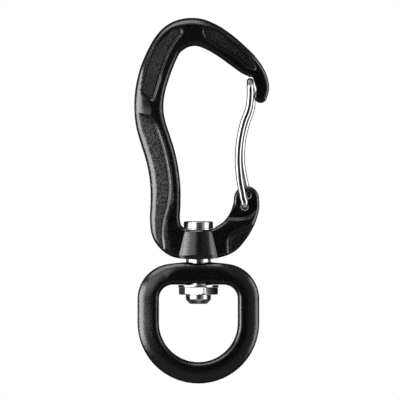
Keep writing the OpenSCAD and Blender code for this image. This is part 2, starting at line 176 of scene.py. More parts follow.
def smooth_run(rows, steps):
    """Points of a smooth curve through rows of numbers, steps points to a row."""
    rows = np.asarray(rows, float)
    before = np.vstack([rows[:1], rows[:-1]])[:-1]
    after = np.vstack([rows[1:], rows[-1:]])[1:]
    a, b, c, d = before, rows[:-1], rows[1:], after
    t = (np.arange(steps) / steps)[None, :, None]
    a, b, c, d = (v[:, None, :] for v in (a, b, c, d))
    points = b + 0.5 * t * ((c - a) + t * ((2 * a - 5 * b + 4 * c - d) + t * (3 * (b - c) + d - a)))
    return np.vstack([points.reshape(-1, rows.shape[1]), rows[-1:]])


def closed_outline(runs, steps=8):
    """A closed outline from runs of points that meet in corners. One run alone is smooth all round."""
    if len(runs) == 1:
        run = runs[0]
        return smooth_run(run[-2:] + run + run[:3], steps)[2 * steps:-2 * steps - 1]
    return np.vstack([smooth_run(run, steps)[:-1] for run in runs])


def inside_distance(points, outline):
    """Distance of each point to a closed outline, positive inside it."""
    start, end = outline, np.roll(outline, -1, axis=0)
    away = np.full(len(points), 1e9)
    crossings = np.zeros(len(points), int)
    for (ax, ay), (bx, by) in zip(start, end):
        dx, dy = bx - ax, by - ay
        px, py = points[:, 0] - ax, points[:, 1] - ay
        t = np.clip((px * dx + py * dy) / (dx * dx + dy * dy + 1e-12), 0, 1)
        away = np.minimum(away, np.hypot(px - t * dx, py - t * dy))
        if ay != by:
            spans = (ay > points[:, 1]) != (by > points[:, 1])
            crossings += spans & (points[:, 0] < ax + (points[:, 1] - ay) * dx / dy)
    return np.where(crossings % 2 == 1, away, -away)


def headings(points):
    """Unit direction of a run of points at each of them."""
    ahead = np.vstack([points[1:], points[-1:]]) - np.vstack([points[:1], points[:-1]])
    return ahead / np.linalg.norm(ahead, axis=1, keepdims=True)


def ease(low, high, value):
    """From 0 at low to 1 at high, smooth at both ends."""
    t = np.clip((value - low) / (high - low), 0, 1)
    return t * t * (3 - 2 * t)


# ---- meshes ----

def mesh_object(name, points, faces, sharp_angle=55):
    """A smooth-shaded object with its faces turned outwards. Points are in millimetres."""
    mesh = bpy.data.meshes.new(name)
    mesh.from_pydata((np.asarray(points) * MM).tolist(), [], faces)
    mesh.validate()
    volume = sum(
        mesh.vertices[p.vertices[0]].co.dot(p.normal) * p.area for p in mesh.polygons)
    if volume < 0:
        mesh.flip_normals()
    mesh.shade_smooth()
    mesh.set_sharp_from_angle(angle=math.radians(sharp_angle))
    made = bpy.data.objects.new(name, mesh)
    bpy.context.scene.collection.objects.link(made)
    return made


def skin(name, ribs, closed=False, sharp_angle=55):
    """An object skinned over ribs, an array of rib, point and coordinate. An open one gets end faces."""
    count, around = ribs.shape[:2]
    index = np.arange(count * around).reshape(count, around)
    here = index if closed else index[:-1]
    there = np.roll(index, -1, axis=0) if closed else index[1:]
    quads = np.stack([here, np.roll(here, -1, axis=1), np.roll(there, -1, axis=1), there], axis=-1)
    faces = quads.reshape(-1, 4).tolist()
    if not closed:
        faces += [index[0][::-1].tolist(), index[-1].tolist()]
    return mesh_object(name, ribs.reshape(-1, 3), faces, sharp_angle)


def held(profile, closed):
    """Adds a point close to both ends of each long run, so that smooth shading leaves it straight."""
    points = np.asarray(profile, float)
    made = []
    for a, b in zip(points, np.roll(points, -1, axis=0) if closed else points[1:]):
        length = np.hypot(*(b - a))
        made.append(a)
        if length > LONG_RUN:
            made += [a + (b - a) * SUPPORT / length, b - (b - a) * SUPPORT / length]
    return made if closed else made + [points[-1]]


def turned(name, profile, about=(0.0, 0.0), along_y=False, sides=96, sharp_angle=40):
    """A turned piece from a profile of radius and height. With along_y it lies front to back.

    A profile that starts on the axis is solid and ends there; any other closes on itself round a hole.
    """
    solid = profile[0][0] <= AXIS
    angles = 2 * np.pi * np.arange(sides) / sides
    rings = []
    for radius, height in held(profile, closed=not solid):
        u, v = radius * np.cos(angles), radius * np.sin(angles)
        flat = np.full(sides, height)
        rings.append(np.stack([about[0] + u, flat, about[1] + v] if along_y
                              else [about[0] + u, about[1] + v, flat], axis=-1))
    return skin(name, np.array(rings), closed=not solid, sharp_angle=sharp_angle)


def prism_along_y(name, outline, front, back):
    """A straight prism from front to back, with an outline of x and z."""
    outline = np.asarray(outline, float)
    ribs = np.array([[[x, y, z] for x, z in outline] for y in (front, back)])
    return skin(name, ribs, sharp_angle=30)


def cut_away(piece, cutters, sharp_angle=50):
    """Cuts the cutters out of the piece and removes them."""
    for cutter in cutters:
        step = piece.modifiers.new("cut", "BOOLEAN")
        step.operation = "DIFFERENCE"
        step.solver = "MANIFOLD"
        step.object = cutter
    bpy.context.view_layer.update()
    graph = bpy.context.evaluated_depsgraph_get()
    cut = bpy.data.meshes.new_from_object(piece.evaluated_get(graph))
    piece.modifiers.clear()
    piece.data = cut
    for cutter in cutters:
        bpy.data.objects.remove(cutter)
    cut.shade_smooth()
    cut.set_sharp_from_angle(angle=math.radians(sharp_angle))


def keep_in_box(piece, *nodes):
    """Moves any vertex that stands proud of the CAD nodes' box back onto it."""
    boxes = [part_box(node) for node in nodes]
    low = np.min([tuple(b[0]) for b in boxes], axis=0)
    high = np.max([tuple(b[1]) for b in boxes], axis=0)
    co = np.zeros(len(piece.data.vertices) * 3)
    piece.data.vertices.foreach_get("co", co)
    co = np.clip(co.reshape(-1, 3), low, high)
    piece.data.vertices.foreach_set("co", co.ravel())
    piece.data.update()


def paint(piece, name, values):
    """Stores one number for each vertex, for the materials to read."""
    layer = piece.data.attributes.new(name, "FLOAT", "POINT")
    layer.data.foreach_set("value", np.asarray(values, np.float32))


def vertex_arrays(piece):
    """Places, in millimetres, and normals of a piece's vertices."""
    count = len(piece.data.vertices)
    co, normal = np.zeros(count * 3), np.zeros(count * 3)
    piece.data.vertices.foreach_get("co", co)
    piece.data.vertices.foreach_get("normal", normal)
    return co.reshape(-1, 3) / MM, normal.reshape(-1, 3)


def paint_creases(piece):
    """Paints how sharply the surface turns at each vertex, on ridges and in corners alike, where the coat
    gets its painted highlight and wear.
    """
    co, normal = vertex_arrays(piece)
    pairs = np.zeros(len(piece.data.edges) * 2, int)
    piece.data.edges.foreach_get("vertices", pairs)
    pairs = pairs.reshape(-1, 2)
    turn = np.zeros(len(co))
    gap = co[pairs[:, 0]] - co[pairs[:, 1]]
    length = np.linalg.norm(gap, axis=1) + 1e-6
    bend = np.linalg.norm(normal[pairs[:, 0]] - normal[pairs[:, 1]], axis=1) / length
    for end in pairs.T:
        np.maximum.at(turn, end, np.where(length > 0.03, bend, 0))
    paint(piece, "crease", ease(*CREASE_TURN, turn))


def finish_piece(piece, material, body, slot, *nodes):
    """Gives a finished piece its material and its body, and fits it in the box of the CAD nodes that it
    stands for, which it hides. The slot is not used.
    """
    keep_in_box(piece, *nodes)
    piece.data.materials.clear()
    piece.data.materials.append(material)
    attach(piece, body)
    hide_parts(*nodes)
    return piece


# ---- materials ----

class NodeTree:
    """Short ways to add and join shader nodes."""

    def __init__(self, name):
        self.material = bpy.data.materials.new(name)
        self.material.use_nodes = True
        self.tree = self.material.node_tree
        self.shader = self.tree.nodes["Principled BSDF"]

    def add(self, kind, **settings):
        """A new node. Each setting goes to the input of that name, or else to the node itself."""
        node = self.tree.nodes.new(kind)
        for key, value in settings.items():
            if key in node.inputs:
                node.inputs[key].default_value = value
            else:
                setattr(node, key, value)
        return node

    def join(self, out, into):
        """Links an output to an input."""
        self.tree.links.new(out, into)

    def noise(self, scale, detail=3.0, stretch=(1, 1, 1), roughness=0.5):
        """Noise over the piece's own space. The scale is per metre."""
        place = self.add("ShaderNodeTexCoord")
        turn = self.add("ShaderNodeMapping")
        turn.inputs["Scale"].default_value = stretch
        texture = self.add("ShaderNodeTexNoise", Scale=scale, Detail=detail, Roughness=roughness)
        self.join(place.outputs["Object"], turn.inputs["Vector"])
        self.join(turn.outputs["Vector"], texture.inputs["Vector"])
        return texture.outputs["Fac"]

    def ramp(self, value, from_low, from_high, to_low, to_high):
        """Maps a range of values to another and stays inside it."""
        node = self.add("ShaderNodeMapRange")
        for key, number in zip(("From Min", "From Max", "To Min", "To Max"),
                               (from_low, from_high, to_low, to_high)):
            node.inputs[key].default_value = number
        self.join(value, node.inputs["Value"])
        return node.outputs["Result"]

    def math(self, operation, a, b):
        """A sum or product of sockets and numbers."""
        node = self.add("ShaderNodeMath", operation=operation)
        for socket, value in zip(node.inputs, (a, b)):
            if isinstance(value, (int, float)):
                socket.default_value = value
            else:
                self.join(value, socket)
        return node.outputs[0]

    def mix(self, factor, a, b):
        """Blends colour a into colour b."""
        node = self.add("ShaderNodeMix", data_type="RGBA")
        self.join(factor, node.inputs["Factor"])
        for key, value in (("A", a), ("B", b)):
            socket = [s for s in node.inputs if s.name == key and s.type == "RGBA"][0]
            if isinstance(value, tuple):
                socket.default_value = value
            else:
                self.join(value, socket)
        return [s for s in node.outputs if s.type == "RGBA"][0]

    def painted(self, name):
        """A number that was painted on the piece's vertices."""
        return self.add("ShaderNodeAttribute", attribute_name=name).outputs["Fac"]

    def bump(self, height, strength, distance):
        """A normal tilted by a height."""
        node = self.add("ShaderNodeBump", Strength=strength, Distance=distance)
        self.join(height, node.inputs["Height"])
        return node.outputs["Normal"]


def grey(value):
    """A grey colour with its alpha."""
    return (value, value, value, 1.0)


def coat_material(finish):
    """Baked black coat: a fine peel, random cloudy tone, a grain on cast floors that are painted lighter
    where the key falls, and a painted highlight with edge wear along ridges and in corners.
    """
    m = NodeTree("baked_coat")
    floor, crease = m.painted("floor_grain_and_light"), m.painted("crease")
    grain, speck, cloud = m.noise(2500, 2.0), m.noise(2600, 1.0), m.noise(90, 3.0)
    base, dusty, cast, pale, crease_highlight_and_wear = (grey(finish.coat * times) for times in (1, 1.6, 6, 90, 75))
    colour = m.mix(m.ramp(cloud, 0.35, 0.7, 0.0, 1.0), base, dusty)
    # over a real speckled cast grain, each floor's weight also paints light: floors that face the key are
    # painted lighter, shaded floors darker
    colour = m.mix(floor, colour, m.mix(m.ramp(speck, 0.4, 0.62, 0.0, 1.0), cast, pale))
    # ridges and corners are painted lighter: partly edge wear on the ridges, partly a painted highlight for
    # the thin light lines at every crease, corners included
    colour = m.mix(m.math("MULTIPLY", crease, m.ramp(grain, 0.35, 0.65, 0.3, 1.0)), colour, crease_highlight_and_wear)
    m.join(colour, m.shader.inputs["Base Color"])
    rough = m.ramp(grain, 0.3, 0.7, finish.coat_roughness - 0.06, finish.coat_roughness + 0.06)
    rough = m.math("ADD", rough, m.math("MULTIPLY", floor, 0.15))
    m.join(rough, m.shader.inputs["Roughness"])
    m.shader.inputs["Specular IOR Level"].default_value = 0.5
    height = m.math("ADD", grain, m.math("MULTIPLY", m.math("MULTIPLY", speck, floor), 1.5))
    m.join(m.bump(height, 1.0, 0.00005), m.shader.inputs["Normal"])
    return m.material


def steel_material(name, colour, roughness, stretch, scratch):
    """Plated or polished steel with fine marks drawn out along the way it was worked."""
    m = NodeTree(name)
    lines, cloud = m.noise(2600, 3.0, stretch), m.noise(160, 2.0)
    light, dark = tuple(colour) + (1.0,), tuple(c * 0.86 for c in colour) + (1.0,)
    m.join(m.mix(m.ramp(cloud, 0.35, 0.7, 0.0, 0.6), light, dark), m.shader.inputs["Base Color"])
    m.shader.inputs["Metallic"].default_value = 1.0
    m.join(m.ramp(lines, 0.3, 0.7, roughness * 0.75, roughness * 1.35), m.shader.inputs["Roughness"])
    m.join(m.bump(lines, scratch, 0.00001), m.shader.inputs["Normal"])
    return m.material


def kept(name, make):
    """A material that is made once and then shared."""
    return bpy.data.materials.get(name) or make()


def black_coat():
    """The coat on the hook and the ring."""
    return kept("baked_coat", lambda: coat_material(bpy.context.scene.hook_finish))


def wire_steel():
    """The gate's steel, with marks along the wire."""
    finish = bpy.context.scene.hook_finish
    return kept("polished_wire", lambda: steel_material(
        "polished_wire", finish.steel, finish.wire_roughness, (1, 1, 0.2), 0.05))


def turned_steel():
    """The steel of the pin, washers, sleeve and nut, with marks round the axis."""
    finish = bpy.context.scene.hook_finish
    return kept("bright_plating", lambda: steel_material(
        "bright_plating", finish.steel, finish.plate_roughness, (0.05, 0.05, 1), 0.15))


# ---- hook ----

def edge_arc(width, depth, start, steps):
    """Half of a rounded edge, from the face to the side: distances across and down, from a crease."""
    angles = np.radians(np.linspace(start, 90, steps))
    first = math.radians(start)
    across = width / (1 - math.sin(first)) * (np.sin(angles) - math.sin(first))
    down = depth / math.cos(first) * (math.cos(first) - np.cos(angles))
    return across, down


def front_half(half_width, height, outer, inner, crease):
    """Front half of the section: distance outwards and height, from the inner side to the outer one."""
    limit = 0.92 * half_width
    outer = (min(outer[0], 2 * limit - min(inner[0], limit)), min(outer[1], 0.9 * height))
    inner = (min(inner[0], limit), min(inner[1], 0.9 * height))
    side_in = np.linspace(0, height - inner[1], 4)[:-1]
    across_in, down_in = edge_arc(*inner, crease, 9)
    across_out, down_out = edge_arc(*outer, crease, 15)
    flat = np.linspace(inner[0] - half_width, half_width - outer[0], FACE_POINTS)[1:-1]
    side_out = np.linspace(height - outer[1], 0, 4)[1:]
    u = np.concatenate([np.full(3, -half_width), (inner[0] - across_in - half_width)[::-1], flat,
                        half_width - outer[0] + across_out, np.full(3, half_width)])
    h = np.concatenate([side_in, (height - down_in)[::-1], np.full(len(flat), height),
                        height - down_out, side_out])
    return u, h


def hook_ribs(sizes):
    """Ribs of the whole forging, before its bores and slots are cut."""
    line = smooth_run(HOOK_LINE, 20)
    centre, heading = line[:, :2], headings(line[:, :2])
    outward = np.stack([heading[:, 1], -heading[:, 0]], axis=1)
    ends = np.radians(np.linspace(0, 85, 13)[1:])
    stations = []
    for at, sign in ((0, -1), (-1, 1)):
        cap = []
        for a in ends:
            share = math.cos(a)
            row = line[at].copy()
            row[2] *= share
            row[3] *= 0.6 + 0.4 * share
            row[4:] *= 0.5 + 0.5 * share
            cap.append((centre[at] + sign * heading[at] * line[at][2] * math.sin(a), outward[at], row))
        stations.append(cap)
    middle = [(centre[i], outward[i], line[i]) for i in range(len(line))]
    ribs = []
    for c, out, row in stations[0][::-1] + middle + stations[1]:
        u, h = front_half(row[2], row[3], row[4:6], row[6:8], math.degrees(sizes.crease))
        ribs.append(np.stack([c[0] + out[0] * u, h, c[1] + out[1] * u], axis=1))
    ribs = np.array(ribs)
    ribs[..., 1] = carved(ribs.reshape(-1, 3), sizes).reshape(ribs.shape[:2])
    front = ribs * (1, -1, 1)
    back = ribs[:, -2:0:-1]
    return np.concatenate([front, back], axis=1)


def carved(points, sizes):
    """Height of each point of the face once the pockets, leaves, step and boss are shaped."""
    flat, height = points[:, [0, 2]], points[:, 1].copy()
    x, z = flat.T
    # half thickness of the face round each cut, as in the middle line
    web_h, ear_h = sizes.web / MM / 2, sizes.ear / MM / 2
    bow_h = np.interp(z, [-13.0, -8.1, -3.7], [4.1, 4.1, 3.7])
    arm_h = np.interp(x, [7.9, 11.4, 14.1], [3.7, 3.4, 3.1])
    spine_h = np.interp(z, [-53.3, -49.6, -45.3], [3.5, 3.55, 4.1])
    # each wall's own depth is its last one, so these stretch it to the depths asked for
    pocket, leaf = sizes.pocket / MM / POCKET_WALL[-1][1], sizes.leaf / MM / LEAF_WALL[-1][1]
    # the spine's leaf starts deep at its tip, where it meets the outer edge
    tip = np.interp(z, [-27, -19], [1.0, 1.8])
    for runs, wall, face, depth in (
            (LEFT_POCKET, POCKET_WALL, bow_h, pocket), (RIGHT_POCKET, POCKET_WALL, arm_h, pocket),
            (SPINE_LEAF, LEAF_WALL, spine_h, leaf * tip), (WEB_LEAF, LEAF_WALL, web_h, leaf)):
        inside = inside_distance(flat, closed_outline(runs))
        # the ridge beside the spine's leaf has a softer shoulder low down
        soft = np.interp(z, [-56, -50, -43], [2.2, 1.8, 1.0]) if runs is SPINE_LEAF else 1.0
        inside = np.where(inside < 0, inside / soft, inside)
        reach, drop = np.array(wall).T
        drop = np.interp(inside, reach, drop) * depth
        height = np.where(drop > 0, np.minimum(height, face - drop), height)
    inside = inside_distance(flat, closed_outline(EAR_STEP))
    reach, drop = np.array(STEP_WALL).T
    drop = np.interp(inside, reach, drop) * (web_h - ear_h)
    height = np.where(drop > 0, np.minimum(height, web_h - drop), height)
    # the boss stands proud of the web, with its top and foot rounded and a small fillet round it
    radius = np.interp(-z, [-BOSS_TOP, -BOSS_FOOT], [BOSS_TOP_R, BOSS_FOOT_R])
    cone = np.sqrt(np.maximum(radius ** 2 - x ** 2, 0)) * ease(-50, -51, z)
    softened = np.interp(-z, [-BOSS_TOP - 0.2, -BOSS_TOP + 0.4, -BOSS_FOOT - 1.25, -BOSS_FOOT],
                         [0.5, 0.0, 0.0, 0.9])
    cone = np.where(cone > 0, cone - softened, 0)
    fillet = 0.25
    blend = np.clip(0.5 + 0.5 * (cone - height) / fillet, 0, 1)
    joined = height * (1 - blend) + cone * blend + fillet * blend * (1 - blend) / 2
    on_boss = (np.abs(x) < 7) & (z < BOSS_TOP + 0.6) & (height > 0.05)
    return np.where(on_boss, np.maximum(height, joined), height)


def rimmed_hole(name, at, radius, front, back, rim=0.18):
    """A cutter for a hole from front to back, flared where it breaks out of a face."""
    out = 1.0
    profile = [(AXIS, front - out), (radius + rim + out, front - out), (radius, front + rim),
               (radius, back - rim), (radius + rim + out, back + out), (AXIS, back + out)]
    return turned(name, profile, at, along_y=True, sides=48)


def foot_slot(wire_r):
    """A cutter for the curved slot that the rear foot swings in, open at the back."""
    opening = 31        # degrees, one more than the gate opens
    front, back = 0.8, 4.5
    front_foot, rear_foot = np.array(FRONT_LEG[0]), np.array(REAR_LEG[0])
    reach = rear_foot - front_foot
    swing = np.linalg.norm(reach)
    start = math.degrees(math.atan2(reach[1], reach[0]))
    finish = start + opening
    play = wire_r + 0.2

    def arc(c, r, low, high, count):
        return [np.array(c) + r * np.array([math.cos(math.radians(a)), math.sin(math.radians(a))])
                for a in np.linspace(low, high, count)]

    last = arc(front_foot, swing, finish, finish, 1)[0]
    outline = (arc(front_foot, swing + play, start, finish, 12)
               + arc(last, play, finish + 15, finish + 165, 9)
               + arc(front_foot, swing - play, finish, start, 6)
               + arc(rear_foot, play, start - 165, start - 15, 9))
    return prism_along_y("slot_cutter", outline, front, back)


def rounded_polygon(points, radius, count=5):
    """An outline with each corner of a polygon rounded."""
    outline = []
    size = len(points)
    for i, corner in enumerate(points):
        corner = np.array(corner, float)
        before, after = np.array(points[i - 1]) - corner, np.array(points[(i + 1) % size]) - corner
        reach = min(radius, 0.45 * np.linalg.norm(before), 0.45 * np.linalg.norm(after))
        a = corner + before / np.linalg.norm(before) * reach
        b = corner + after / np.linalg.norm(after) * reach
        for t in np.linspace(0, 1, count):
            outline.append((1 - t) ** 2 * a + 2 * t * (1 - t) * corner + t ** 2 * b)
    return outline


class HookSizes(PropertyGroup):
    """Sizes of the forged hook."""
    web: FloatProperty(name="Web thickness", description="Front to back, beside the swivel boss",
                       default=7.0 * MM, unit="LENGTH")
    ear: FloatProperty(name="Ear thickness", description="Front to back, where the gate is held",
                       default=5.0 * MM, unit="LENGTH")
    pocket: FloatProperty(name="Pocket depth", description="Depth of the pockets in both arms",
                          default=0.6 * MM, unit="LENGTH")
    leaf: FloatProperty(name="Leaf depth", description="Depth of the leaf-shaped flats",
                        default=0.75 * MM, unit="LENGTH")
    crease: FloatProperty(name="Edge crease", description="How far each edge turns at its crease",
                          default=math.radians(14), subtype="ANGLE")


class HOOK_OT_forging(Operator):
    """Builds the forged hook with its pockets, leaves, boss and ear"""
    bl_idname = "snap_hook.forging"
    bl_label = "Forged hook"

    def execute(self, context):
        sizes = context.scene.hook_sizes
        hook = skin("hook_forging", hook_ribs(sizes))
        crossbar = np.array(FRONT_LEG[-1])
        notch = np.array([(-2.4, 1.22), (0.72, 1.22), (1.75, -2.2), (1.75, -2.6), (1.0, -3.3),
                          (-2.4, -3.3)]) + crossbar
        ear_h = sizes.ear / MM / 2
        wire_r = context.scene.gate_sizes.wire / MM / 2
        hole = wire_r + 0.05
        bore, rim = 3.1, 0.15
        cutters = [
            turned("bore_cutter", [
                (AXIS, BOSS_FOOT - 1.05), (bore + 1.6, BOSS_FOOT - 1.05), (bore + rim, FOOT_SEAT),
                (bore, FOOT_SEAT + rim), (bore, BOSS_TOP - rim), (bore + rim, BOSS_TOP),
                (bore + 1.6, BOSS_TOP + 1.6), (AXIS, BOSS_TOP + 1.6)]),
            turned("seat_cutter", [(AXIS, BOSS_TOP), (SEAT_R, BOSS_TOP), (SEAT_R, BOSS_TOP + 3.6),
                                   (AXIS, BOSS_TOP + 3.6)]),
            turned("low_seat_cutter", [(AXIS, BOSS_FOOT - 2.05), (SEAT_R, BOSS_FOOT - 2.05),
                                       (SEAT_R, FOOT_SEAT), (AXIS, FOOT_SEAT)]),
            prism_along_y("notch_cutter", rounded_polygon(notch.tolist(), 0.5), -5, 5),
            rimmed_hole("front_foot_cutter", FRONT_LEG[0], hole, -ear_h, ear_h),
            turned("rear_foot_cutter",
                   [(AXIS, -4), (hole + 1.68, -4), (hole, -2.32), (hole, 0.9), (AXIS, 0.9)],
                   REAR_LEG[0], along_y=True, sides=48),
            foot_slot(wire_r)]
        cut_away(hook, cutters)
        co, normal = vertex_arrays(hook)
        flat = co[:, [0, 2]]
        floor = np.zeros(len(co))
        # how much grain each floor shows, which is also painted light: floors that face the key weigh more
        # and are painted lighter, the shaded right pocket and web leaf less; and how wide the smooth, dark
        # rim is between floor and wall
        for runs, grain, margin in ((LEFT_POCKET, 0.5, 0.5), (RIGHT_POCKET, 0.22, 0.5),
                                    (SPINE_LEAF, 0.9, 0.4), (WEB_LEAF, 0.1, 0.4)):
            inside = inside_distance(flat, closed_outline(runs))
            floor = np.maximum(floor, grain * ease(margin, margin + 0.25, inside))
        paint(hook, "floor_grain_and_light", floor * ease(*LEVEL, np.abs(normal[:, 1])))
        paint_creases(hook)
        finish_piece(hook, black_coat(), "hook", "black_coat", "hook_body")
        return {"FINISHED"}


# ---- gate ----

def bend(at, radius, leg_y, side, start, finish):
    """Points round a bend of the wire that turns it between upright and front to back."""
    angles = np.radians(np.linspace(start, finish, 13))
    return [(at[0], side * (leg_y - radius + radius * math.cos(a)), at[1] + radius * math.sin(a))
            for a in angles]


def leg_run(leg, leg_y, side, foot_r, top_r):
    """Points of one leg, from the end of its foot bend to the end of its top bend."""
    foot, top = leg[0], leg[-1]
    line = smooth_run(leg, 8)
    inner = [(x, side * leg_y, z) for x, z in line if foot[1] + foot_r + 0.5 < z < top[1] - top_r - 0.3]
    return (bend((foot[0], foot[1] + foot_r), foot_r, leg_y, side, -90, -8) + inner
            + bend((top[0], top[1] - top_r), top_r, leg_y, side, 8, 90))


class GateSizes(PropertyGroup):
    """Sizes of the wire gate."""
    wire: FloatProperty(name="Wire diameter", description="Diameter of the gate wire",
                        default=2.0 * MM, unit="LENGTH")
    leg_y: FloatProperty(name="Leg offset", description="From the middle plane to each leg's centre",
                         default=3.9 * MM, unit="LENGTH")
    foot_bend: FloatProperty(name="Foot bend", description="Radius of the bend at each foot",
                             default=1.6 * MM, unit="LENGTH")
    top_bend: FloatProperty(name="Top bend", description="Radius of the bends at the crossbar",
                            default=2.2 * MM, unit="LENGTH")


class HOOK_OT_gate(Operator):
    """Builds the bent wire gate from one length of wire"""
    bl_idname = "snap_hook.gate"
    bl_label = "Wire gate"

    def execute(self, context):
        sizes = context.scene.gate_sizes
        leg_y, foot_r, top_r = sizes.leg_y / MM, sizes.foot_bend / MM, sizes.top_bend / MM
        front = leg_run(FRONT_LEG, leg_y, -1, foot_r, top_r)
        rear = leg_run(REAR_LEG, leg_y, 1, foot_r, top_r)
        start_y = leg_y - foot_r
        front_foot = [(front[0][0], y, front[0][2]) for y in (2.0, 1.2, 0.0, -1.2, -start_y + 0.3)]
        rear_foot = [(rear[0][0], y, rear[0][2]) for y in (start_y - 0.3, 1.6, 1.0)]
        path = smooth_run(front_foot + front + rear[::-1] + rear_foot, 2)
        along = headings(path)
        side = np.array([1.0, 0.0, 0.0])
        radius, sides = sizes.wire / MM / 2, 32
        angles = 2 * np.pi * np.arange(sides) / sides
        ribs = []
        for point, t in zip(path, along):
            side = side - (side @ t) * t
            side = side / np.linalg.norm(side)
            up = np.cross(t, side)
            ribs.append(point + radius * (np.cos(angles)[:, None] * side + np.sin(angles)[:, None] * up))
        # a small chamfer at each cut end of the wire
        for end, inward in ((0, 1), (-1, -1)):
            centre = path[end]
            tip = centre + (ribs[end] - centre) * 0.8
            ribs[end] = ribs[end] + inward * along[end] * 0.2
            ribs.insert(0, tip) if end == 0 else ribs.append(tip)
        gate = skin("gate_bent_wire", np.array(ribs), sharp_angle=40)
        finish_piece(gate, wire_steel(), "gate", "spring_wire", "gate_wire")
        return {"FINISHED"}


# ---- swivel stack ----

def rounded_rim(radius, low, high, edge, steps=5):
    """Profile points of a rounded outer edge at the bottom and at the top of a disc."""
    angles = np.radians(np.linspace(0, 90, steps))
    bottom = [(radius - edge + edge * math.sin(a), low + edge - edge * math.cos(a)) for a in angles]
    top = [(radius - edge + edge * math.cos(a), high - edge + edge * math.sin(a)) for a in angles]
    return bottom + top


class SwivelSizes(PropertyGroup):
    """Sizes of the swivel pin and what is stacked on it."""
    shank: FloatProperty(name="Shank", description="Diameter of the swivel pin",
                         default=6.0 * MM, unit="LENGTH")
    head: FloatProperty(name="Head", description="Diameter of the pin's round head",
                        default=8.4 * MM, unit="LENGTH")
    tail: FloatProperty(name="Formed end", description="Diameter of the pin's formed end",
                        default=7.2 * MM, unit="LENGTH")
    nut_flats: FloatProperty(name="Nut", description="Width across the nut's flats",
                             default=10.0 * MM, unit="LENGTH")
    nut_turn: FloatProperty(name="Nut turn", description="How far the nut is turned on the pin",
                            default=math.radians(-12), subtype="ANGLE")


class HOOK_OT_swivel(Operator):
    """Builds the headed pin, its washers, the sleeve and the hex nut"""
    bl_idname = "snap_hook.swivel"
    bl_label = "Swivel pin stack"

    def ring_piece(self, node, name, hole, radius, edge):
        """A washer or sleeve, as high as its CAD node."""
        low, high = (v.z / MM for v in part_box(node))
        burr = 0.06
        inner = [(hole + burr, high), (hole, high - burr), (hole, low + burr), (hole + burr, low)]
        piece = turned(name, rounded_rim(radius, low, high, edge) + inner)
        finish_piece(piece, turned_steel(), "hook", "plated_steel", node)

    def execute(self, context):
        sizes = context.scene.swivel_sizes
        shank, head, tail = (v / MM / 2 for v in (sizes.shank, sizes.head, sizes.tail))
        low, high = (v.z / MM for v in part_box("swivel_pin"))
        head_low, tail_high = high - 2.1, low + 2.6
        flat, chamfer = tail - 1.2, 1.3
        profile = [(AXIS, low + 0.1), (0.6 * flat, low + 0.08), (flat - 0.25, low),
                   (flat, low + 0.05), (flat + 0.12, low + 0.12), (tail - 0.1, low + chamfer - 0.12),
                   (tail, low + chamfer + 0.1), (tail, tail_high - 0.12), (tail - 0.12, tail_high),
                   (shank, tail_high), (shank, head_low), (head - 0.12, head_low),
                   (head, head_low + 0.12)]
        steps = 8
        profile += rounded_rim(head, high - 1.2, high, 0.55, steps)[steps:]
        profile += [(0.5 * head, high - 0.02), (AXIS, high - 0.02)]
        pin = turned("swivel_pin_headed", profile)
        finish_piece(pin, turned_steel(), "hook", "plated_steel", "swivel_pin")
        self.ring_piece("head_washer", "washer_under_head", shank + 0.1, head + 0.15, 0.1)
        self.ring_piece("bearing_sleeve", "sleeve_turned", shank + 0.05, 3.55, 0.1)
        self.ring_piece("ring_washer", "washer_under_ring", shank + 0.1, 5.75, 0.14)
        self.nut(sizes, shank)
        return {"FINISHED"}

    def nut(self, sizes, shank):
        """A hex nut with its corners chamfered by a cone, above and below."""
        low, high = (v.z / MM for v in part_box("hex_nut"))
        flats = sizes.nut_flats / MM / 2
        corner = flats / math.cos(math.radians(30))
        sides = 180
        angles = 2 * np.pi * np.arange(sides) / sides
        from_flat = (np.degrees(angles) + 30) % 60 - 30
        hexagon = np.minimum(flats / np.cos(np.radians(from_flat)), corner - 0.06)
        turn = sizes.nut_turn
        rings = []
        for height, cone in ((low, corner - 0.6), (low + 0.12, corner - 0.38), (low + 0.3, corner),
                             (low + 0.36, corner), (high - 0.18, corner), (high - 0.12, corner),
                             (high - 0.04, corner - 0.12), (high, corner - 0.3)):
            radius = np.minimum(hexagon, cone)
            rings.append([(r * math.cos(a + turn), r * math.sin(a + turn), height)
                          for r, a in zip(radius, angles + math.radians(30))])
        for radius, height in ((shank + 0.2, high), (shank + 0.02, high - 0.15),
                               (shank + 0.02, low + 0.15), (shank + 0.2, low)):
            rings.append([(radius * math.cos(a + turn), radius * math.sin(a + turn), height)
                          for a in angles + math.radians(30)])
        nut = skin("hex_nut_plated", np.array(rings), closed=True, sharp_angle=25)
        finish_piece(nut, turned_steel(), "hook", "plated_steel", "hex_nut")


# ---- ring ----

class RingSizes(PropertyGroup):
    """Sizes of the D-shaped swivel ring."""
    eye_w: FloatProperty(name="Eye width", description="Width of the ring's eye",
                         default=22.5 * MM, unit="LENGTH")
    eye_h: FloatProperty(name="Eye height", description="Height of the ring's eye",
                         default=22.1 * MM, unit="LENGTH")
    bar_w: FloatProperty(name="Bar width", description="Width of the bar across its flat face",
                         default=6.15 * MM, unit="LENGTH")
    top_h: FloatProperty(name="Top bar", description="Height of the bar that the sleeve goes through",
                         default=6.55 * MM, unit="LENGTH")
    thickness: FloatProperty(name="Thickness", description="Front to back, at the bottom",
                             default=8.6 * MM, unit="LENGTH")
    outer_edge: FloatProperty(name="Outer edge", description="Width of the outer rounded edge",
                              default=4.8 * MM, unit="LENGTH")
    inner_edge: FloatProperty(name="Inner edge", description="Width of the inner rounded edge",
                              default=1.2 * MM, unit="LENGTH")


def arc_points(cx, cz, radius, start, finish, count):
    """Points of an arc without its last one, from start to finish in degrees."""
    angles = np.radians(np.linspace(start, finish, count, endpoint=False))
    return [(cx + radius * math.cos(a), cz + radius * math.sin(a)) for a in angles]


def straight(a, b, count):
    """Points of a straight run without its last one."""
    return [tuple(np.array(a) + (np.array(b) - np.array(a)) * k / count) for k in range(count)]


